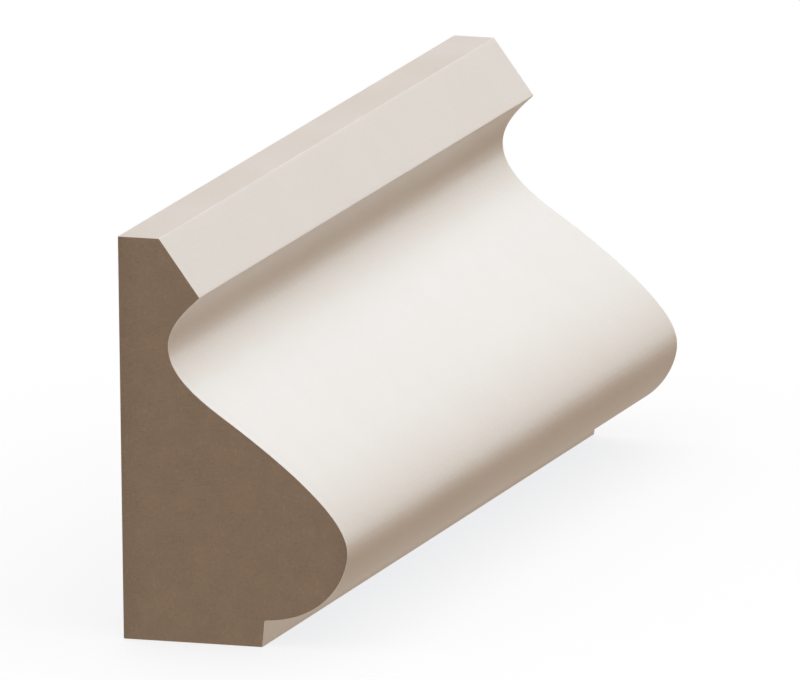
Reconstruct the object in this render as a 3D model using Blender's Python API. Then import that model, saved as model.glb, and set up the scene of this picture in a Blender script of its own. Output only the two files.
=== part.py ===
"""A short stick of base cap moulding, the trim that sits on top of a baseboard.

It is one solid piece of MDF of a single section, cut square at both ends. The flat back goes
to the wall (+Y), the moulded front faces -Y and the foot rests on z = 0. The stick runs along
X, with the origin at the middle of its length and thickness, on the plane of the foot.

The section, from the bottom up: a flat foot, a low fillet that leans out a little, a round
nose that overhangs it, a long reverse curve up to a narrow cove, and a bevel that leans back
to the flat top.
"""

import bmesh
import bpy
from mathutils import Vector
from mathutils.geometry import interpolate_bezier

# Overall size, in metres
LENGTH = 0.0762
HEIGHT = 0.0302
THICKNESS = 0.0175

# Foot and fillet, below the nose
FOOT_DEPTH = 0.0108
FILLET_HEIGHT = 0.0020
FILLET_LEAN = 0.0002

# Nose: the height of its furthest point over the foot
NOSE_HEIGHT = 0.0074

# Cove: the wall left behind its deepest point, and that point's drop below the cove's edge
COVE_WALL = 0.0038
COVE_DROP = 0.0038

# Bevel and top: the flat top's depth, and how far the bevel comes out and down from it
TOP_DEPTH = 0.0032
BEVEL_RUN = 0.0031
BEVEL_DROP = 0.0043

# Handles of the curves, as shares (out or in, up) of the stretch that each curve spans
NOSE_UNDER_HANDLES = ((0.74, 0.03), (1.00, 0.68))
COVE_TOP_HANDLES = ((0.00, 0.355), (0.395, 0.65))

# The long reverse curve, in shares of the stretch from the nose to the cove: where it turns
# over, how much it rises there for each step in, and the reach of the handles on each side
NOSE_PULL = 0.10
COVE_PULL = 0.17
TURN = (0.613, 0.603)
TURN_RISE = 0.653
TURN_REACH_TO_NOSE = 0.522
TURN_REACH_TO_COVE = 0.150

# Straight steps that each curve is drawn with
NOSE_UNDER_STEPS = 18
NOSE_OVER_STEPS = 30
COVE_BELOW_STEPS = 16
COVE_TOP_STEPS = 12

PRIMER_COLOUR = (0.80, 0.77, 0.73, 1.0)
PRIMER_ROUGHNESS = 0.45


def between(start, end, share):
    """The point at a share (out or in, up) of the stretch from start to end."""
    return Vector(
        (
            start.x + (end.x - start.x) * share[0],
            start.y + (end.y - start.y) * share[1],
        )
    )


def curve(start, first_handle, last_handle, end, steps):
    """The points of one cubic curve after its start, so that curves can follow each other."""
    corners = [point.to_3d() for point in (start, first_handle, last_handle, end)]
    return [point.to_2d() for point in interpolate_bezier(*corners, steps + 1)][1:]


def nose_underside(fillet_top, nose):
    """The quick round from the fillet's top out to the nose."""
    first, last = (between(fillet_top, nose, share) for share in NOSE_UNDER_HANDLES)
    return curve(fillet_top, first, last, nose, NOSE_UNDER_STEPS)


def reverse_curve(nose, cove):
    """The swell over the nose, which turns over into the hollow below the cove."""
    turn = between(nose, cove, TURN)
    to_nose = between(
        nose, cove, (TURN[0] - TURN_REACH_TO_NOSE, TURN[1] - TURN_REACH_TO_NOSE * TURN_RISE)
    )
    to_cove = between(
        nose, cove, (TURN[0] + TURN_REACH_TO_COVE, TURN[1] + TURN_REACH_TO_COVE * TURN_RISE)
    )
    over_nose = between(nose, cove, (0.0, NOSE_PULL))
    below_cove = between(nose, cove, (1.0, 1.0 - COVE_PULL))
    swell = curve(nose, over_nose, to_nose, turn, NOSE_OVER_STEPS)
    hollow = curve(turn, to_cove, below_cove, cove, COVE_BELOW_STEPS)
    return swell + hollow


def cove_top(cove, cove_edge):
    """The hollow's upper end, from its deepest point out to its edge."""
    first, last = (between(cove, cove_edge, share) for share in COVE_TOP_HANDLES)
    return curve(cove, first, last, cove_edge, COVE_TOP_STEPS)


def section():
    """The outline as (distance out from the back, height), from the back's foot round."""
    back_foot = Vector((0.0, 0.0))
    front_foot = Vector((FOOT_DEPTH, 0.0))
    fillet_top = Vector((FOOT_DEPTH + FILLET_LEAN, FILLET_HEIGHT))
    nose = Vector((THICKNESS, NOSE_HEIGHT))
    cove_edge = Vector((TOP_DEPTH + BEVEL_RUN, HEIGHT - BEVEL_DROP))
    cove = Vector((COVE_WALL, cove_edge.y - COVE_DROP))
    front_top = Vector((TOP_DEPTH, HEIGHT))
    back_top = Vector((0.0, HEIGHT))
    outline = [back_foot, front_foot, fillet_top]
    outline += nose_underside(fillet_top, nose)
    outline += reverse_curve(nose, cove)
    outline += cove_top(cove, cove_edge)
    return outline + [front_top, back_top]


def primer():
    """The factory coat of white primer."""
    material = bpy.data.materials.new("primer")
    material.use_nodes = True
    shader = material.node_tree.nodes["Principled BSDF"]
    shader.inputs["Base Color"].default_value = PRIMER_COLOUR
    shader.inputs["Roughness"].default_value = PRIMER_ROUGHNESS
    shader.inputs["Metallic"].default_value = 0.0
    return material


def moulding_stick():
    """The section drawn at one end and extruded over the whole length."""
    shape = bmesh.new()
    corners = [
        shape.verts.new((-LENGTH / 2, THICKNESS / 2 - out, height)) for out, height in section()
    ]
    end = shape.faces.new(corners)
    grown = bmesh.ops.extrude_face_region(shape, geom=[end])["geom"]
    far_corners = [item for item in grown if isinstance(item, bmesh.types.BMVert)]
    bmesh.ops.translate(shape, verts=far_corners, vec=(LENGTH, 0.0, 0.0))
    bmesh.ops.recalc_face_normals(shape, faces=shape.faces)
    mesh = bpy.data.meshes.new("moulding_stick")
    shape.to_mesh(mesh)
    shape.free()
    mesh.shade_smooth()
    mesh.set_sharp_from_angle(angle=0.5)
    mesh.materials.append(primer())
    stick = bpy.data.objects.new("moulding_stick", mesh)
    bpy.context.scene.collection.objects.link(stick)
    return stick


def main():
    """Clears the scene and models the stick."""
    for item in list(bpy.data.objects):
        bpy.data.objects.remove(item)
    moulding_stick()


main()
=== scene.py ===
"""The looks of a short stick of primed base cap moulding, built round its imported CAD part.

The stick is one piece of moulding-grade fibreboard: a section run along its length, coated
with white primer on the face, the top and the foot, left bare on the back and on the two
sawn ends. The section and the run are built from the CAD part's own box, so the dressed stick
stays where the part is.
"""

import logging
import math
from dataclasses import dataclass, field
from enum import Enum
from typing import Any

import bpy
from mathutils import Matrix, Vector
from mathutils.geometry import interpolate_bezier


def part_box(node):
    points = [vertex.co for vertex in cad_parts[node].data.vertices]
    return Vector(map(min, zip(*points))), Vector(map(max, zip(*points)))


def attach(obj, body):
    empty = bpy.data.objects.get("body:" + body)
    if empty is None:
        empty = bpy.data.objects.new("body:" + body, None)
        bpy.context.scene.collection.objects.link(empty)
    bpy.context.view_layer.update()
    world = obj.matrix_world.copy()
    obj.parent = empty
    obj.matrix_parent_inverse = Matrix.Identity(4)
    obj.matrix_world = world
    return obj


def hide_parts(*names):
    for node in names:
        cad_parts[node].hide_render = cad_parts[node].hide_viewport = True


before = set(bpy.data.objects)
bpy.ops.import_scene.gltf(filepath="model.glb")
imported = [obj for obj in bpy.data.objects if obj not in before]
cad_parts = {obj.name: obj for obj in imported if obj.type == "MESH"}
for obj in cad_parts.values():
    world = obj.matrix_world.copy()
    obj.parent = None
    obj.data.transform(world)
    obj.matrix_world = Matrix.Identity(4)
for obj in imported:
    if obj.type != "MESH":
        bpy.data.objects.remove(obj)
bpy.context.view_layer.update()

STICK_NODE = "moulding_stick"
MM = 0.001

# A colour, a share (out or in, up) of a stretch, and the two ends of a range
Colour = tuple[float, float, float]
Share = tuple[float, float]
Range = tuple[float, float]

# A node's socket, and what a number can be fed from
Socket = bpy.types.NodeSocket
Number = Socket | float

# A face looks along an axis when this much of its direction lies on it
SQUARE_ON = 0.9

# A colour Mix node's sockets, by place: its share, its two colours and its result
MIX_SHARE, MIX_FIRST, MIX_SECOND, MIX_RESULT = 0, 6, 7, 2

# How far apart the rings of a Wave texture are at a scale of 1
RING_SPACING = 0.314

log = logging.getLogger("base_cap")


class Ease(Enum):
    """How far back from a corner of the section its rounding starts, in metres."""

    KNIFE = 0.04 * MM
    SANDED = 0.07 * MM
    FILLED = 0.10 * MM


class Kept(Enum):
    """The kinds of value that a point of the stick can keep under a name."""

    NUMBER = "FLOAT"
    VECTOR = "FLOAT_VECTOR"


class NodeBench:
    """Adds and joins nodes in one tree, so that a finish or a shape reads as a list of steps."""

    def __init__(self, tree: bpy.types.NodeTree) -> None:
        """Takes the tree, of shader or geometry nodes, that the nodes go into."""
        self.tree = tree

    def add(
        self, kind: str, inputs: dict[str | int, Any] | None = None, **settings: Any
    ) -> bpy.types.Node:
        """Adds one node.

        Args:
            kind: The node's type name.
            inputs: Values or sockets for its inputs, by name or by place.
            settings: Values for the node's own properties.

        Returns:
            The new node.
        """
        node = self.tree.nodes.new(kind)
        for name, value in settings.items():
            setattr(node, name, value)
        for name, value in (inputs or {}).items():
            self.feed(node.inputs[name], value)
        return node

    def feed(self, socket: Socket, value: Any) -> None:
        """Joins a socket to another one, or sets its value.

        Args:
            socket: The input to feed.
            value: An output socket, or a plain value.
        """
        if isinstance(value, Socket):
            self.tree.links.new(value, socket)
        else:
            socket.default_value = value

    def math(self, operation: str, first: Number, second: Number = 0.0) -> Socket:
        """One step of arithmetic, and the socket of its result."""
        return self.add("ShaderNodeMath", {0: first, 1: second}, operation=operation).outputs[0]

    def weighed(self, first: Socket, second: Socket, weight: float) -> Socket:
        """Adds two values up, the first by its weight and the second by the rest of one.

        Args:
            first: The first value.
            second: The second value.
            weight: The first value's share of the sum.

        Returns:
            The socket of the sum.
        """
        heavy = self.math("MULTIPLY", first, weight)
        light = self.math("MULTIPLY", second, 1.0 - weight)
        return self.math("ADD", heavy, light)

    def scaled(self, vector: Socket, size: Number) -> Socket:
        """A vector times a number, as a socket."""
        node = self.add("ShaderNodeVectorMath", {0: vector, "Scale": size}, operation="SCALE")
        return node.outputs[0]

    def parts(self, vector: Socket) -> bpy.types.NodeOutputs:
        """The X, Y and Z sockets of a vector."""
        return self.add("ShaderNodeSeparateXYZ", {0: vector}).outputs

    def joined(self, x: Number = 0.0, y: Number = 0.0, z: Number = 0.0) -> Socket:
        """A vector made of three numbers, as a socket."""
        return self.add("ShaderNodeCombineXYZ", {0: x, 1: y, 2: z}).outputs[0]

    def place(self) -> Socket:
        """The place on the dressed object that is being coloured, in metres, as a socket."""
        return self.add("ShaderNodeTexCoord").outputs["Object"]

    def spread(self, value: Socket, span: Range, ends: Range = (0.0, 1.0)) -> Socket:
        """Maps a value from one range to another, held at both ends.

        Args:
            value: The value to map.
            span: The two values that become the ends of the new range.
            ends: The ends of the new range.

        Returns:
            The socket of the result.
        """
        low, high = span
        to_low, to_high = ends
        ranges = {"From Min": low, "From Max": high, "To Min": to_low, "To Max": to_high}
        return self.add("ShaderNodeMapRange", {"Value": value, **ranges}).outputs["Result"]

    def noise(
        self, place: Socket, grain: float, detail: float = 2.0, seed: float = 0.0
    ) -> Socket:
        """Smooth noise, as a socket from 0 to 1.

        Args:
            place: The vector that it is read at, in metres.
            grain: The size of its lumps, in metres.
            detail: How many finer layers it has.
            seed: A shift that gives another draw of the same noise.

        Returns:
            The socket of the noise.
        """
        node = self.add(
            "ShaderNodeTexNoise",
            {"Vector": place, "W": seed, "Scale": 1.0 / grain, "Detail": detail},
            noise_dimensions="4D",
        )
        return node.outputs[0]

    def blend(self, share: Number, first: Any, second: Any, mode: str = "MIX") -> Socket:
        """Mixes two colours.

        Args:
            share: How much of the second one there is.
            first: The first colour, or its socket.
            second: The second colour, or its socket.
            mode: The way that they are mixed.

        Returns:
            The socket of the mixed colour.
        """
        inputs = {MIX_SHARE: share, MIX_FIRST: first, MIX_SECOND: second}
        node = self.add("ShaderNodeMix", inputs, data_type="RGBA", blend_type=mode)
        return node.outputs[MIX_RESULT]

    def shaded(self, colour: Any, shade: Socket) -> Socket:
        """A colour made lighter or darker by a number, as a socket."""
        return self.blend(1.0, colour, self.joined(shade, shade, shade), "MULTIPLY")

    def relief(self, height: Socket, depth: float, under: Socket | None = None) -> Socket:
        """A bump of a real depth, laid over another.

        Args:
            height: The socket of the height, from 0 to 1.
            depth: The depth of the full range, in metres.
            under: The normal socket of the bump below, if there is one.

        Returns:
            The socket of the normal.
        """
        inputs = {"Height": height, "Distance": depth}
        if under is not None:
            inputs["Normal"] = under
        return self.add("ShaderNodeBump", inputs).outputs["Normal"]

    def keep(self, geometry: Socket, name: str, kind: Kept, value: Socket) -> Socket:
        """Keeps a value on every point under a name.

        Args:
            geometry: The curve or mesh whose points keep it.
            name: The name that it is kept under.
            kind: What kind of value it is.
            value: The value.

        Returns:
            The socket of the geometry.
        """
        node = self.add(
            "GeometryNodeStoreNamedAttribute",
            {"Geometry": geometry, "Name": name, "Value": value},
            data_type=kind.value,
            domain="POINT",
        )
        return node.outputs["Geometry"]

    def kept(self, name: str, kind: Kept) -> Socket:
        """The socket of a value that was kept under a name."""
        node = self.add("GeometryNodeInputNamedAttribute", {"Name": name}, data_type=kind.value)
        return node.outputs["Attribute"]


def opaque(colour: Colour) -> tuple[float, float, float, float]:
    """The colour at full cover, as a colour socket takes it."""
    return (*colour, 1.0)


def new_material(
    name: str, colour: Colour
) -> tuple[bpy.types.Material, NodeBench, bpy.types.Node]:
    """Makes a material with an empty bench and its one surface shader.

    Args:
        name: The material's name.
        colour: The plain colour that it shows in a viewport.

    Returns:
        The material, its bench and the shader node.
    """
    material = bpy.data.materials.new(name)
    material.use_nodes = True
    material.diffuse_color = opaque(colour)
    shader = material.node_tree.nodes["Principled BSDF"]
    return material, NodeBench(material.node_tree), shader


def put_in_scene(name: str, data: bpy.types.ID) -> bpy.types.Object:
    """Makes an object of a mesh, a curve, a light or a camera, and puts it in the scene.

    Args:
        name: The object's name.
        data: What it is made of.

    Returns:
        The object.
    """
    item = bpy.data.objects.new(name, data)
    bpy.context.scene.collection.objects.link(item)
    return item


@dataclass(frozen=True)
class PrimerCoat:
    """Factory white primer on fibreboard, sprayed over the knife finish and left satin.

    The knife lines run along the stick, so a distance along it counts for little in them. The
    satin is uneven with the clouds, and for the rest with the stipple.
    """

    colour: Colour = (0.80, 0.772, 0.735)
    thin_colour: Colour = (0.775, 0.740, 0.695)
    roughness: float = 0.40
    roughness_spread: float = 0.05
    specular: float = 0.5
    cloud: float = 9.0 * MM
    cloud_span: Range = (0.35, 0.65)
    stipple: float = 0.34 * MM
    stipple_depth: float = 0.014 * MM
    satin_from_clouds: float = 0.6
    satin_span: Range = (0.3, 0.7)
    knife_line: float = 0.30 * MM
    knife_line_depth: float = 0.011 * MM
    length_counts: float = 0.004
    nib_spacing: float = 2.6 * MM
    nib_reach: float = 0.045
    nib_depth: float = 0.020 * MM

    def material(self) -> bpy.types.Material:
        """Builds the coat: clouded white, a sprayed stipple, faint knife lines and dust nibs.

        Returns:
            The material.
        """
        material, bench, shader = new_material("primer_coat", self.colour)
        place = bench.place()
        cloud = bench.noise(place, self.cloud, detail=3.0, seed=2.0)
        stipple = bench.noise(place, self.stipple, detail=2.0, seed=5.0)
        across = bench.add("ShaderNodeAttribute", attribute_name="across").outputs["Fac"]
        along = bench.math("MULTIPLY", bench.parts(place)["X"], self.length_counts)
        lines = bench.noise(bench.joined(across, along), self.knife_line, detail=3.0, seed=9.0)
        nibs = bench.add(
            "ShaderNodeTexVoronoi",
            {"Vector": place, "Scale": 1.0 / self.nib_spacing, "Randomness": 1.0},
            feature="F1",
        )
        nib = bench.spread(nibs.outputs["Distance"], (0.0, self.nib_reach), (1.0, 0.0))
        tone = bench.spread(cloud, self.cloud_span)
        colour = bench.blend(tone, opaque(self.thin_colour), opaque(self.colour))
        bench.feed(shader.inputs["Base Color"], colour)
        satin = bench.weighed(cloud, stipple, self.satin_from_clouds)
        smoothest = self.roughness - self.roughness_spread
        roughest = self.roughness + self.roughness_spread
        rough = bench.spread(satin, self.satin_span, (smoothest, roughest))
        bench.feed(shader.inputs["Roughness"], rough)
        shader.inputs["Specular IOR Level"].default_value = self.specular
        lined = bench.relief(lines, self.knife_line_depth)
        sprayed = bench.relief(stipple, self.stipple_depth, lined)
        bench.feed(shader.inputs["Normal"], bench.relief(nib, self.nib_depth, sprayed))
        return material


@dataclass(frozen=True)
class SawnBoard:
    """The cut end of fibreboard: matt brown, with fine pale and dark fibres and a saw's strokes.

    One set of fibres lies level and the other leans over it, and the board's two pressed faces
    are a little darker than its core.
    """

    colour: Colour = (0.304, 0.225, 0.163)
    dark: Colour = (0.259, 0.188, 0.133)
    pale: Colour = (0.381, 0.296, 0.225)
    roughness: float = 0.88
    specular: float = 0.18
    fibre: float = 0.10 * MM
    fibre_stretch: float = 3.5
    fibre_lean: float = 0.7
    fibre_depth: float = 0.030 * MM
    dark_span: Range = (0.50, 0.70)
    dark_most: float = 0.75
    pale_span: Range = (0.56, 0.74)
    pale_most: float = 0.65
    lump: float = 1.3 * MM
    lump_span: Range = (0.3, 0.7)
    lump_shades: Range = (0.955, 1.045)
    stroke: float = 0.55 * MM
    stroke_bend: float = 1.6
    stroke_depth: float = 0.012 * MM
    face_layer: float = 1.6 * MM
    face_shade: float = 0.90

    def material(self, thickness: float) -> bpy.types.Material:
        """Builds the bare end.

        Args:
            thickness: The board's thickness, whose two faces are pressed denser and darker.

        Returns:
            The material.
        """
        material, bench, shader = new_material("sawn_board", self.colour)
        place = bench.place()
        stretch = self.fibre_stretch
        level = bench.add("ShaderNodeMapping", {"Vector": place, "Scale": (1.0, 1.0, stretch)})
        leaning = bench.add(
            "ShaderNodeMapping",
            {
                "Vector": place,
                "Rotation": (self.fibre_lean, 0.0, 0.0),
                "Scale": (1.0, stretch, 1.0),
            },
        )
        fibres = bench.noise(level.outputs[0], self.fibre * stretch, detail=4.0, seed=1.0)
        crossing = bench.noise(leaning.outputs[0], self.fibre * stretch, detail=4.0, seed=4.0)
        dark = bench.spread(fibres, self.dark_span, (0.0, self.dark_most))
        pale = bench.spread(crossing, self.pale_span, (0.0, self.pale_most))
        ground = bench.blend(dark, opaque(self.colour), opaque(self.dark))
        flecked = bench.blend(pale, ground, opaque(self.pale))
        from_core = bench.math("ABSOLUTE", bench.parts(place)["Y"])
        surface = thickness / 2
        layer = (surface - self.face_layer, surface)
        pressed = bench.spread(from_core, layer, (1.0, self.face_shade))
        lumps = bench.noise(place, self.lump, detail=3.0, seed=7.0)
        mottle = bench.spread(lumps, self.lump_span, self.lump_shades)
        shade = bench.math("MULTIPLY", pressed, mottle)
        bench.feed(shader.inputs["Base Color"], bench.shaded(flecked, shade))
        shader.inputs["Roughness"].default_value = self.roughness
        shader.inputs["Specular IOR Level"].default_value = self.specular
        strokes = bench.add(
            "ShaderNodeTexWave",
            {
                "Vector": place,
                "Scale": RING_SPACING / self.stroke,
                "Distortion": self.stroke_bend,
                "Detail": 2.0,
            },
            wave_type="RINGS",
            rings_direction="X",
        )
        cut = bench.relief(strokes.outputs["Fac"], self.stroke_depth)
        bench.feed(shader.inputs["Normal"], bench.relief(fibres, self.fibre_depth, cut))
        return material


@dataclass(frozen=True)
class PlanedBack:
    """The back of the stick: bare board planed flat, with a mist of primer along its edges.

    The planing runs along the stick, so a distance along it counts for little there. The mist
    is thickest at the two long edges, and it drifts and leaves specks of the board bare.
    """

    colour: Colour = (0.375, 0.262, 0.178)
    dark: Colour = (0.325, 0.222, 0.148)
    mist_colour: Colour = (0.74, 0.70, 0.64)
    roughness: float = 0.74
    specular: float = 0.25
    planing: float = 0.26 * MM
    planing_depth: float = 0.008 * MM
    length_counts: float = 0.02
    fibre: float = 0.22 * MM
    shade_from_planing: float = 0.5
    shade_span: Range = (0.42, 0.60)
    mist_reach: float = 2.6 * MM
    mist_fade: float = 2.2
    drift: float = 6.0 * MM
    drift_span: Range = (0.35, 0.6)
    drift_cover: Range = (0.25, 1.0)
    speck_span: Range = (0.40, 0.62)
    speck_cover: Range = (0.55, 1.0)

    def material(self, height: float) -> bpy.types.Material:
        """Builds the back.

        Args:
            height: The stick's height, whose upper and lower edges caught the spray.

        Returns:
            The material.
        """
        material, bench, shader = new_material("planed_back", self.colour)
        place = bench.place()
        drawn = bench.add(
            "ShaderNodeMapping", {"Vector": place, "Scale": (self.length_counts, 1.0, 1.0)}
        )
        planing = bench.noise(drawn.outputs[0], self.planing, detail=4.0, seed=3.0)
        fibres = bench.noise(place, self.fibre, detail=4.0, seed=8.0)
        shade = bench.weighed(planing, fibres, self.shade_from_planing)
        tone = bench.spread(shade, self.shade_span)
        board = bench.blend(tone, opaque(self.dark), opaque(self.colour))
        middle = height / 2
        up = bench.math("SUBTRACT", bench.parts(place)["Z"], middle)
        from_middle = bench.math("ABSOLUTE", up)
        near_edge = bench.spread(from_middle, (middle - self.mist_reach, middle))
        drifts = bench.noise(place, self.drift, detail=3.0, seed=6.0)
        mist = bench.math(
            "MULTIPLY",
            bench.math("POWER", near_edge, self.mist_fade),
            bench.spread(drifts, self.drift_span, self.drift_cover),
        )
        specks = bench.spread(fibres, self.speck_span, self.speck_cover)
        share = bench.math("MULTIPLY", mist, specks)
        misted = bench.blend(share, board, opaque(self.mist_colour))
        bench.feed(shader.inputs["Base Color"], misted)
        shader.inputs["Roughness"].default_value = self.roughness
        shader.inputs["Specular IOR Level"].default_value = self.specular
        bench.feed(shader.inputs["Normal"], bench.relief(planing, self.planing_depth))
        return material


@dataclass
class Section:
    """The moulding's section, as distances out from the back and heights over the foot.

    Handles are shares of the stretch that each curve spans. The long reverse curve spans the
    stretch from nose to cove, and turns over at `turn`, where it rises by `turn_rise` for each
    step in.
    """

    thickness: float
    height: float
    foot_depth: float = 10.8 * MM
    fillet_height: float = 2.0 * MM
    fillet_lean: float = 0.2 * MM
    nose_height: float = 7.4 * MM
    cove_wall: float = 3.8 * MM
    cove_drop: float = 3.8 * MM
    top_depth: float = 3.2 * MM
    bevel_run: float = 3.1 * MM
    bevel_drop: float = 4.3 * MM
    nose_under_handles: tuple[Share, Share] = ((0.74, 0.03), (1.00, 0.68))
    cove_top_handles: tuple[Share, Share] = ((0.00, 0.355), (0.395, 0.65))
    nose_pull: float = 0.10
    cove_pull: float = 0.17
    turn: Share = (0.613, 0.603)
    turn_rise: float = 0.653
    reach_to_nose: float = 0.522
    reach_to_cove: float = 0.150
    flat_step: float = 0.42 * MM
    nose_under_steps: int = 30
    nose_over_steps: int = 48
    cove_below_steps: int = 28
    cove_top_steps: int = 18
    ease_steps: int = 6
    ease_hold: float = 0.58

    @staticmethod
    def between(start: Vector, end: Vector, share: Share) -> Vector:
        """The point at a share (out or in, up) of the stretch from start to end."""
        across, up = share
        return Vector((start.x + (end.x - start.x) * across, start.y + (end.y - start.y) * up))

    @staticmethod
    def curve(
        start: Vector, first: Vector, last: Vector, end: Vector, steps: int
    ) -> list[Vector]:
        """The points of one cubic curve, both ends with it."""
        corners = [point.to_3d() for point in (start, first, last, end)]
        return [point.to_2d() for point in interpolate_bezier(*corners, steps + 1)]

    def flat(self, start: Vector, end: Vector) -> list[Vector]:
        """The points of a straight run, both ends with it, a step apart."""
        steps = max(2, math.ceil((end - start).length / self.flat_step))
        return [start.lerp(end, i / steps) for i in range(steps + 1)]

    def face(self, fillet_top: Vector, cove_edge: Vector) -> list[Vector]:
        """The moulded face: round nose, long reverse curve and cove.

        Args:
            fillet_top: Where the nose's underside starts.
            cove_edge: Where the cove ends against the bevel.

        Returns:
            The face's points, from the bottom up.
        """
        nose = Vector((self.thickness, self.nose_height))
        cove = Vector((self.cove_wall, cove_edge.y - self.cove_drop))
        turn = self.between(nose, cove, self.turn)
        across, up = self.turn
        to_nose = (across - self.reach_to_nose, up - self.reach_to_nose * self.turn_rise)
        to_cove = (across + self.reach_to_cove, up + self.reach_to_cove * self.turn_rise)
        over_nose, below_cove = (0.0, self.nose_pull), (1.0, 1.0 - self.cove_pull)
        points = [fillet_top]
        for start, end, span, handles, steps in (
            (fillet_top, nose, (fillet_top, nose), self.nose_under_handles, self.nose_under_steps),
            (nose, turn, (nose, cove), (over_nose, to_nose), self.nose_over_steps),
            (turn, cove, (nose, cove), (to_cove, below_cove), self.cove_below_steps),
            (cove, cove_edge, (cove, cove_edge), self.cove_top_handles, self.cove_top_steps),
        ):
            first, last = (self.between(*span, share) for share in handles)
            points += self.curve(start, first, last, end, steps)[1:]
        return points

    @staticmethod
    def trimmed(run: list[Vector], reach: float) -> list[Vector]:
        """Cuts a run of points back from its end.

        Args:
            run: The points.
            reach: How far from the run's last point the cut is.

        Returns:
            The run up to the cut, with a new last point on it.
        """
        corner = run[-1]
        kept = [point for point in run if (point - corner).length > reach]
        following = run[len(kept)]
        inner, outer = (following - corner).length, (kept[-1] - corner).length
        return kept + [kept[-1].lerp(following, (outer - reach) / (outer - inner))]

    def eased(
        self, before: list[Vector], after: list[Vector], ease: Ease
    ) -> tuple[list[Vector], list[Vector], list[Vector]]:
        """Rounds the corner between two runs.

        Args:
            before: The run that ends at the corner.
            after: The run that starts at it.
            ease: How far the rounding reaches.

        Returns:
            Both runs cut back, and the points of the round between them.
        """
        first = self.trimmed(before, ease.value)
        last = self.trimmed(after[::-1], ease.value)[::-1]
        start, corner, end = first[-1], before[-1], last[0]
        handles = start.lerp(corner, self.ease_hold), end.lerp(corner, self.ease_hold)
        return first, last, self.curve(start, *handles, end, self.ease_steps)[1:-1]

    def outline(self) -> list[Vector]:
        """The closed outline, with every corner eased.

        Returns:
            The points, anticlockwise from the back of the foot.
        """
        back_foot = Vector((0.0, 0.0))
        front_foot = Vector((self.foot_depth, 0.0))
        fillet_top = Vector((self.foot_depth + self.fillet_lean, self.fillet_height))
        cove_edge = Vector((self.top_depth + self.bevel_run, self.height - self.bevel_drop))
        front_top = Vector((self.top_depth, self.height))
        back_top = Vector((0.0, self.height))
        runs = [
            self.flat(back_foot, front_foot),
            self.flat(front_foot, fillet_top),
            self.face(fillet_top, cove_edge),
            self.flat(cove_edge, front_top),
            self.flat(front_top, back_top),
            self.flat(back_top, back_foot),
        ]
        # Each run's ease is that of the corner at its end
        eases = [Ease.SANDED, Ease.FILLED, Ease.SANDED, Ease.KNIFE, Ease.KNIFE, Ease.KNIFE]
        rounds = []
        for i, ease in enumerate(eases):
            following = (i + 1) % len(runs)
            runs[i], runs[following], corner = self.eased(runs[i], runs[following], ease)
            rounds.append(corner)
        return [point for run, corner in zip(runs, rounds) for point in run + corner]

    def drawing(self) -> bpy.types.Object:
        """The outline as a closed curve object, which the run is swept from.

        Returns:
            The curve object.
        """
        data = bpy.data.curves.new("section_drawing", "CURVE")
        data.dimensions = "3D"
        points = self.outline()
        spline = data.splines.new("POLY")
        spline.points.add(len(points) - 1)
        for knot, point in zip(spline.points, points):
            knot.co = (point.x, point.y, 0.0, 1.0)
        spline.use_cyclic_u = True
        return put_in_scene("section_drawing", data)


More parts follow.
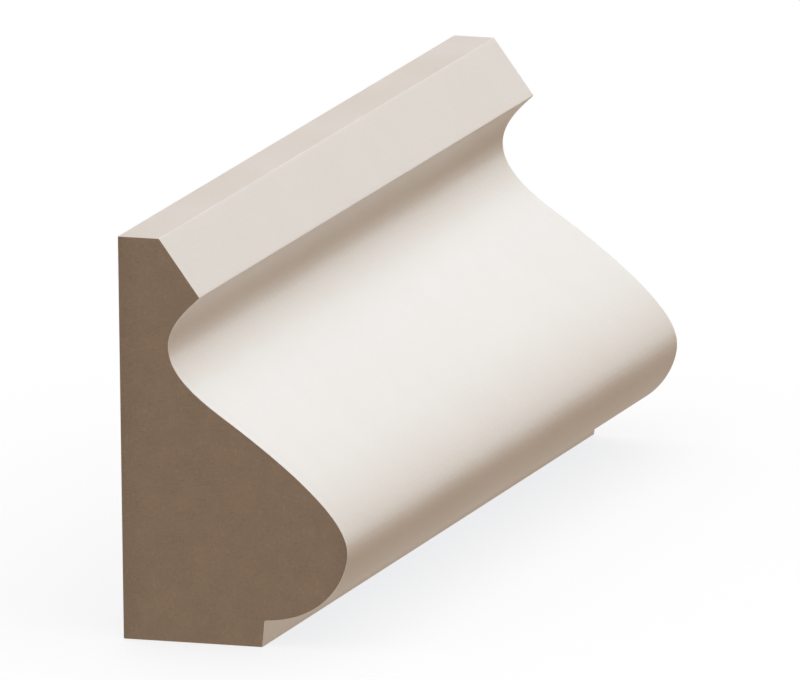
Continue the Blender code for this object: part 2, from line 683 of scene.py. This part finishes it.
@dataclass
class MouldingStick:
    """The stick: its section run along the length, with its two sawn ends and its finishes.

    Every point of the run keeps `inward`, the way into the board from its side of the section,
    `drawn_at`, its place in the drawn section, and `across`, its distance round the section.
    """

    low: Vector
    high: Vector
    run_step: float = 0.70 * MM
    primer_film: float = 0.004 * MM
    film_wander: float = 0.018 * MM
    film_grain: float = 0.5 * MM
    cut_ease: float = 0.01 * MM
    waver: float = 0.012 * MM
    waver_span: float = 7.0 * MM
    waver_seed: float = 11.0
    sharp_angle: float = 35.0
    primer: PrimerCoat = field(default_factory=PrimerCoat)
    sawn: SawnBoard = field(default_factory=SawnBoard)
    back: PlanedBack = field(default_factory=PlanedBack)

    def inputs(self, drawing: bpy.types.Object) -> dict[str, tuple[str, Any]]:
        """The named inputs of the run's tree.

        Args:
            drawing: The drawn section.

        Returns:
            Each input's kind of socket and its value, by its name.
        """
        length, thickness, height = self.high - self.low
        number, material = "NodeSocketFloat", "NodeSocketMaterial"
        return {
            "Section": ("NodeSocketObject", drawing),
            "Start": (number, self.low.x + self.cut_ease),
            "End": (number, self.high.x - self.cut_ease),
            "Wall face": (number, self.high.y),
            "Stations": ("NodeSocketInt", round(length / self.run_step) + 1),
            "Primer film": (number, self.primer_film),
            "Film wander": (number, self.film_wander),
            "Cut ease": (number, self.cut_ease),
            "Waver": (number, self.waver),
            "Waver span": (number, self.waver_span),
            "Seed": (number, self.waver_seed),
            "Primer": (material, self.primer.material()),
            "Sawn board": (material, self.sawn.material(thickness)),
            "Planed back": (material, self.back.material(height)),
        }

    def run_tree(self, inputs: dict[str, tuple[str, Any]]) -> bpy.types.NodeTree:
        """Builds the tree that runs the section along the length and finishes the cut ends.

        Args:
            inputs: Its named inputs.

        Returns:
            The geometry node tree.
        """
        tree = bpy.data.node_groups.new("run_of_moulding", "GeometryNodeTree")
        for name, (kind, _) in inputs.items():
            tree.interface.new_socket(name, in_out="INPUT", socket_type=kind)
        tree.interface.new_socket("Stick", in_out="OUTPUT", socket_type="NodeSocketGeometry")
        bench = NodeBench(tree)
        given = bench.add("NodeGroupInput").outputs
        swept = self.sweep(bench, given)
        wavered = self.wavered(bench, given, swept)
        cut, ends = self.cut_ends(bench, given, wavered)
        bench.add("NodeGroupOutput", {"Stick": self.dressed(bench, given, cut, ends)})
        return tree

    def sweep(self, bench: NodeBench, given: bpy.types.NodeOutputs) -> Socket:
        """Sweeps the drawn section along the run and stands it in its place.

        Args:
            bench: The tree's bench.
            given: The tree's inputs.

        Returns:
            The socket of the swept mesh, whose points keep their place in the section.
        """
        drawn = bench.add("GeometryNodeObjectInfo", {"Object": given["Section"]})
        section = drawn.outputs["Geometry"]
        tangent = bench.parts(bench.add("GeometryNodeInputTangent").outputs[0])
        inward = bench.joined(y=tangent["Y"], z=tangent["X"])
        section = bench.keep(section, "inward", Kept.VECTOR, inward)
        place = bench.add("GeometryNodeInputPosition").outputs[0]
        section = bench.keep(section, "drawn_at", Kept.VECTOR, place)
        across = bench.add("GeometryNodeSplineParameter").outputs["Length"]
        section = bench.keep(section, "across", Kept.NUMBER, across)
        line = bench.add(
            "GeometryNodeCurvePrimitiveLine",
            {"Start": bench.joined(given["Start"]), "End": bench.joined(given["End"])},
        )
        stations = bench.add(
            "GeometryNodeResampleCurve",
            {"Curve": line.outputs[0], "Count": given["Stations"]},
            mode="COUNT",
        )
        body = bench.add(
            "GeometryNodeCurveToMesh",
            {"Curve": stations.outputs[0], "Profile Curve": section, "Fill Caps": True},
        )
        drawn_at = bench.parts(bench.kept("drawn_at", Kept.VECTOR))
        depth = bench.math("SUBTRACT", given["Wall face"], drawn_at["X"])
        stood = bench.joined(bench.parts(place)["X"], depth, drawn_at["Y"])
        placed = bench.add(
            "GeometryNodeSetPosition", {"Geometry": body.outputs[0], "Position": stood}
        )
        return bench.add("GeometryNodeFlipFaces", {"Mesh": placed.outputs[0]}).outputs[0]

    def wavered(
        self, bench: NodeBench, given: bpy.types.NodeOutputs, geometry: Socket
    ) -> Socket:
        """Lets the surface waver a little along the run, as a moulder leaves it.

        Args:
            bench: The tree's bench.
            given: The tree's inputs.
            geometry: The socket of the swept mesh.

        Returns:
            The socket of the mesh.
        """
        place = bench.add("GeometryNodeInputPosition").outputs[0]
        read_at = bench.add(
            "ShaderNodeVectorMath", {0: place, 1: given["Waver span"]}, operation="DIVIDE"
        )
        lumps = bench.add(
            "ShaderNodeTexNoise",
            {"Vector": read_at.outputs[0], "W": given["Seed"], "Scale": 1.0, "Detail": 1.0},
            noise_dimensions="4D",
        )
        depth = bench.math("MULTIPLY", lumps.outputs[0], given["Waver"])
        offset = bench.scaled(bench.kept("inward", Kept.VECTOR), depth)
        moved = bench.add("GeometryNodeSetPosition", {"Geometry": geometry, "Offset": offset})
        return moved.outputs[0]

    @staticmethod
    def stepped_in(
        bench: NodeBench, geometry: Socket, choice: Socket, rise: Number, offset: Socket
    ) -> tuple[Socket, Socket]:
        """Raises the chosen faces in one piece and draws their rim in.

        Args:
            bench: The tree's bench.
            geometry: The socket of the mesh.
            choice: Which faces are raised.
            rise: How far they are raised.
            offset: How far each point of their rim is moved.

        Returns:
            The socket of the mesh, and of the choice of the raised faces.
        """
        raised = bench.add(
            "GeometryNodeExtrudeMesh",
            {"Mesh": geometry, "Selection": choice, "Offset Scale": rise, "Individual": False},
            mode="FACES",
        ).outputs
        drawn_in = bench.add(
            "GeometryNodeSetPosition",
            {"Geometry": raised["Mesh"], "Selection": raised["Top"], "Offset": offset},
        )
        return drawn_in.outputs[0], raised["Top"]

    def cut_ends(
        self, bench: NodeBench, given: bpy.types.NodeOutputs, geometry: Socket
    ) -> tuple[Socket, Socket]:
        """Gives both ends the primer's cut edge, with the bare board inside it.

        Args:
            bench: The tree's bench.
            given: The tree's inputs.
            geometry: The socket of the mesh.

        Returns:
            The socket of the mesh, and of the choice of its bare end faces.
        """
        inward = bench.kept("inward", Kept.VECTOR)
        facing = bench.parts(bench.add("GeometryNodeInputNormal").outputs[0])["X"]
        is_end = bench.math("GREATER_THAN", bench.math("ABSOLUTE", facing), SQUARE_ON)
        eased = bench.scaled(inward, given["Cut ease"])
        cut, ends = self.stepped_in(bench, geometry, is_end, given["Cut ease"], eased)
        place = bench.add("GeometryNodeInputPosition").outputs[0]
        ragged = bench.noise(place, self.film_grain, detail=4.0, seed=1.5)
        wander = bench.math("MULTIPLY", ragged, given["Film wander"])
        coated = bench.math("GREATER_THAN", bench.parts(inward)["Y"], -SQUARE_ON)
        thick = bench.math("ADD", given["Primer film"], wander)
        film = bench.scaled(inward, bench.math("MULTIPLY", thick, coated))
        return self.stepped_in(bench, cut, ends, 0.0, film)

    def dressed(
        self, bench: NodeBench, given: bpy.types.NodeOutputs, geometry: Socket, ends: Socket
    ) -> Socket:
        """Gives each face its finish.

        Args:
            bench: The tree's bench.
            given: The tree's inputs.
            geometry: The socket of the mesh.
            ends: The choice of the bare end faces.

        Returns:
            The socket of the finished stick.
        """
        side = bench.parts(bench.kept("inward", Kept.VECTOR))["Y"]
        is_back = bench.math("LESS_THAN", side, -SQUARE_ON)
        real = bench.add("GeometryNodeRealizeInstances", {"Geometry": geometry}).outputs[0]
        for finish, choice in (("Primer", True), ("Planed back", is_back), ("Sawn board", ends)):
            real = bench.add(
                "GeometryNodeSetMaterial",
                {"Geometry": real, "Selection": choice, "Material": given[finish]},
            ).outputs[0]
        return real

    def build(self) -> bpy.types.Object:
        """Builds the stick as one plain mesh.

        Returns:
            The stick's object, at the origin, with its place in its mesh.
        """
        _, thickness, height = self.high - self.low
        drawing = Section(thickness, height).drawing()
        inputs = self.inputs(drawing)
        stick = put_in_scene("base_cap_stick", bpy.data.meshes.new("host"))
        run = stick.modifiers.new("run", "NODES")
        run.node_group = self.run_tree(inputs)
        for item in run.node_group.interface.items_tree:
            if item.in_out == "INPUT":
                run[item.identifier] = inputs[item.name][1]
        bpy.context.view_layer.update()
        graph = bpy.context.evaluated_depsgraph_get()
        mesh = bpy.data.meshes.new_from_object(
            stick.evaluated_get(graph), preserve_all_data_layers=True, depsgraph=graph
        )
        stick.modifiers.clear()
        stick.data = mesh
        mesh.name = "base_cap_stick"
        bpy.data.objects.remove(drawing)
        for name in ("inward", "drawn_at"):
            mesh.attributes.remove(mesh.attributes[name])
        mesh.shade_smooth()
        mesh.set_sharp_from_angle(angle=math.radians(self.sharp_angle))
        return stick


@dataclass
class SoftLamp:
    """A wide soft lamp, so far off that its light is even over the whole stick.

    It lights the stick alone, and the stick casts no shadow on itself in its light, because
    the photograph's shades have none. The nose and the cove still shut out the room's fill.
    """

    name: str
    azimuth: float
    elevation: float
    spread: float
    power: float
    colour: Colour
    distance: float = 1.2

    def hang(
        self, middle: Vector, lit: bpy.types.Collection, shading: bpy.types.Collection
    ) -> bpy.types.Object:
        """Hangs the lamp by its azimuth and elevation round the stick, and turns it to it.

        Args:
            middle: The point that it looks at.
            lit: What it lights.
            shading: What may cast a shadow in its light.

        Returns:
            The lamp's object.
        """
        light = bpy.data.lights.new(self.name, "SUN")
        light.angle = math.radians(self.spread)
        light.energy = self.power
        light.color = self.colour
        lamp = put_in_scene(self.name, light)
        turn, lift = math.radians(self.azimuth), math.radians(self.elevation)
        away = Vector(
            (
                math.sin(turn) * math.cos(lift),
                -math.cos(turn) * math.cos(lift),
                math.sin(lift),
            )
        )
        lamp.location = middle + away * self.distance
        lamp.rotation_mode = "QUATERNION"
        lamp.rotation_quaternion = (-away).to_track_quat("-Z", "Y")
        lamp.light_linking.receiver_collection = lit
        lamp.light_linking.blocker_collection = shading
        return lamp


@dataclass
class Studio:
    """A pale floor with its own wash and glow, and soft lamps that light the stick alone.

    The floor is lit apart from the stick and sends no light back to it, so that the floor
    stays near white while the nose's underside and the cove keep their warm shade.
    """

    middle: Vector
    floor_level: float
    floor_reach: float = 12.0
    floor_colour: Colour = (0.30, 0.30, 0.30)
    floor_roughness: float = 0.7
    floor_specular: float = 0.2
    floor_cloud: float = 50.0 * MM
    floor_cloud_span: Range = (0.3, 0.7)
    floor_shades: Range = (0.992, 1.0)
    floor_glow: float = 0.75
    glow_colour: Colour = (0.92, 0.96, 1.0)
    wash: float = 2.1
    wash_spread: float = 140.0
    fill_colour: Colour = (0.331, 0.219, 0.129)
    below_colour: Colour = (0.662, 0.610, 0.563)
    sky_colour: Colour = (0.98, 0.98, 0.98)
    lamps: list[SoftLamp] = field(
        default_factory=lambda: [
            SoftLamp("key", 0.0, 78.0, 20.0, 1.799, (0.854, 0.932, 1.0)),
            SoftLamp("sheen", 80.0, 38.0, 30.0, 0.797, (0.661, 0.835, 1.0)),
            SoftLamp("low_sheen", 80.0, 10.0, 30.0, 0.382, (0.854, 0.965, 1.0)),
            SoftLamp("end_fill", -110.0, 6.0, 60.0, 1.051, (0.763, 0.906, 1.0)),
            SoftLamp("back_fill", 170.0, 4.0, 60.0, 0.36, (1.0, 1.0, 1.0)),
        ]
    )

    def floor_material(self) -> bpy.types.Material:
        """Builds the floor's plain finish, clouded a very little.

        Returns:
            The material.
        """
        material, bench, shader = new_material("studio_floor", self.floor_colour)
        clouds = bench.noise(bench.place(), self.floor_cloud)
        shade = bench.spread(clouds, self.floor_cloud_span, self.floor_shades)
        colour = bench.shaded(opaque(self.floor_colour), shade)
        bench.feed(shader.inputs["Base Color"], colour)
        shader.inputs["Roughness"].default_value = self.floor_roughness
        shader.inputs["Specular IOR Level"].default_value = self.floor_specular
        shader.inputs["Emission Color"].default_value = opaque(self.glow_colour)
        shader.inputs["Emission Strength"].default_value = self.floor_glow
        return material

    def floor(self) -> bpy.types.Object:
        """Lays the floor, level with the foot, as stage.

        Returns:
            The floor's object.
        """
        mesh = bpy.data.meshes.new("studio_floor")
        reach = self.floor_reach
        corners = [(-reach, -reach), (reach, -reach), (reach, reach), (-reach, reach)]
        mesh.from_pydata([(x, y, self.floor_level) for x, y in corners], [], [(0, 1, 2, 3)])
        mesh.materials.append(self.floor_material())
        floor = put_in_scene("studio_floor", mesh)
        floor.visible_diffuse = floor.visible_glossy = floor.visible_shadow = False
        return floor

    def wash_floor(self, lit: bpy.types.Collection) -> None:
        """Washes the floor evenly from above, with light that reaches nothing else.

        Args:
            lit: The floor's collection.
        """
        light = bpy.data.lights.new("floor_wash", "SUN")
        light.energy = self.wash
        light.angle = math.radians(self.wash_spread)
        put_in_scene("floor_wash", light).light_linking.receiver_collection = lit

    def room(self) -> None:
        """Fills the room: warm light, stronger from below, and white where the camera looks."""
        world = bpy.data.worlds.new("studio_room")
        world.use_nodes = True
        world.node_tree.nodes.clear()
        bench = NodeBench(world.node_tree)
        looked = bench.add("ShaderNodeTexCoord").outputs["Generated"]
        lowness = bench.spread(bench.parts(looked)["Z"], (-1.0, 0.0), (1.0, 0.0))
        light = bench.blend(lowness, opaque(self.fill_colour), opaque(self.below_colour))
        fill = bench.add("ShaderNodeBackground", {"Color": light})
        sky = bench.add("ShaderNodeBackground", {"Color": opaque(self.sky_colour)})
        seen = bench.add("ShaderNodeLightPath").outputs["Is Camera Ray"]
        mixed = bench.add("ShaderNodeMixShader", {0: seen, 1: fill.outputs[0], 2: sky.outputs[0]})
        bench.add("ShaderNodeOutputWorld", {"Surface": mixed.outputs[0]})
        bpy.context.scene.world = world

    def set_up(self, stick: bpy.types.Object) -> None:
        """Lays the floor, fills the room and hangs the lamps.

        Args:
            stick: The stick, which the soft lamps light.
        """
        lit_stick = bpy.data.collections.new("lit_by_soft_lamps")
        lit_stick.objects.link(stick)
        floor_alone = bpy.data.collections.new("floor_alone")
        floor_alone.objects.link(self.floor())
        self.room()
        self.wash_floor(floor_alone)
        for lamp in self.lamps:
            lamp.hang(self.middle, lit_stick, floor_alone)
            log.info("lamp %s: power %.2f", lamp.name, lamp.power)
        bpy.context.scene.view_settings.view_transform = "Standard"


@dataclass
class PhotoCamera:
    """A long lens at the photograph's angle, nearly free of perspective as the drawing is.

    The stick's middle is a little right of the picture's centre and above it, by the pixels
    given.
    """

    middle: Vector
    yaw: float = 19.10
    pitch: float = 12.08
    roll: float = 0.745
    distance: float = 2.3129
    lens: float = 1400.0
    sensor: float = 36.0
    near_clip: float = 0.1
    far_clip: float = 30.0
    frame_width: int = 800
    right_of_centre: float = 2.3
    above_centre: float = 0.56

    def place(self) -> bpy.types.Object:
        """Places the camera, with the stick's middle where the photograph has it.

        Returns:
            The camera's object, set as the scene's camera.
        """
        turn, lift = math.radians(self.yaw), math.radians(self.pitch)
        away = Vector(
            (
                -math.cos(lift) * math.cos(turn),
                -math.cos(lift) * math.sin(turn),
                math.sin(lift),
            )
        )
        right = Vector((math.sin(turn), -math.cos(turn), 0.0))
        up = right.cross(-away)
        pixel = self.distance * self.sensor / self.lens / self.frame_width
        data = bpy.data.cameras.new("photo_camera")
        data.lens, data.sensor_width = self.lens, self.sensor
        data.clip_start, data.clip_end = self.near_clip, self.far_clip
        camera = put_in_scene("photo_camera", data)
        aim = self.middle - right * self.right_of_centre * pixel - up * self.above_centre * pixel
        camera.location = aim + away * self.distance
        camera.rotation_mode = "QUATERNION"
        level = (-away).to_track_quat("-Z", "Y").to_matrix()
        rolled = level @ level.Rotation(math.radians(-self.roll), 3, "Z")
        camera.rotation_quaternion = rolled.to_quaternion()
        bpy.context.scene.camera = camera
        return camera


def main() -> None:
    """Builds the stick, its studio and the camera in order."""
    logging.basicConfig(level=logging.INFO, format="%(name)s: %(message)s")
    low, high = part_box(STICK_NODE)
    middle = (low + high) / 2
    stick = MouldingStick(low, high).build()
    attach(stick, "root")
    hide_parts(STICK_NODE)
    log.info("piece %s: %d faces", stick.name, len(stick.data.polygons))
    Studio(middle, low.z).set_up(stick)
    PhotoCamera(middle).place()


if __name__ == "__main__":
    main()
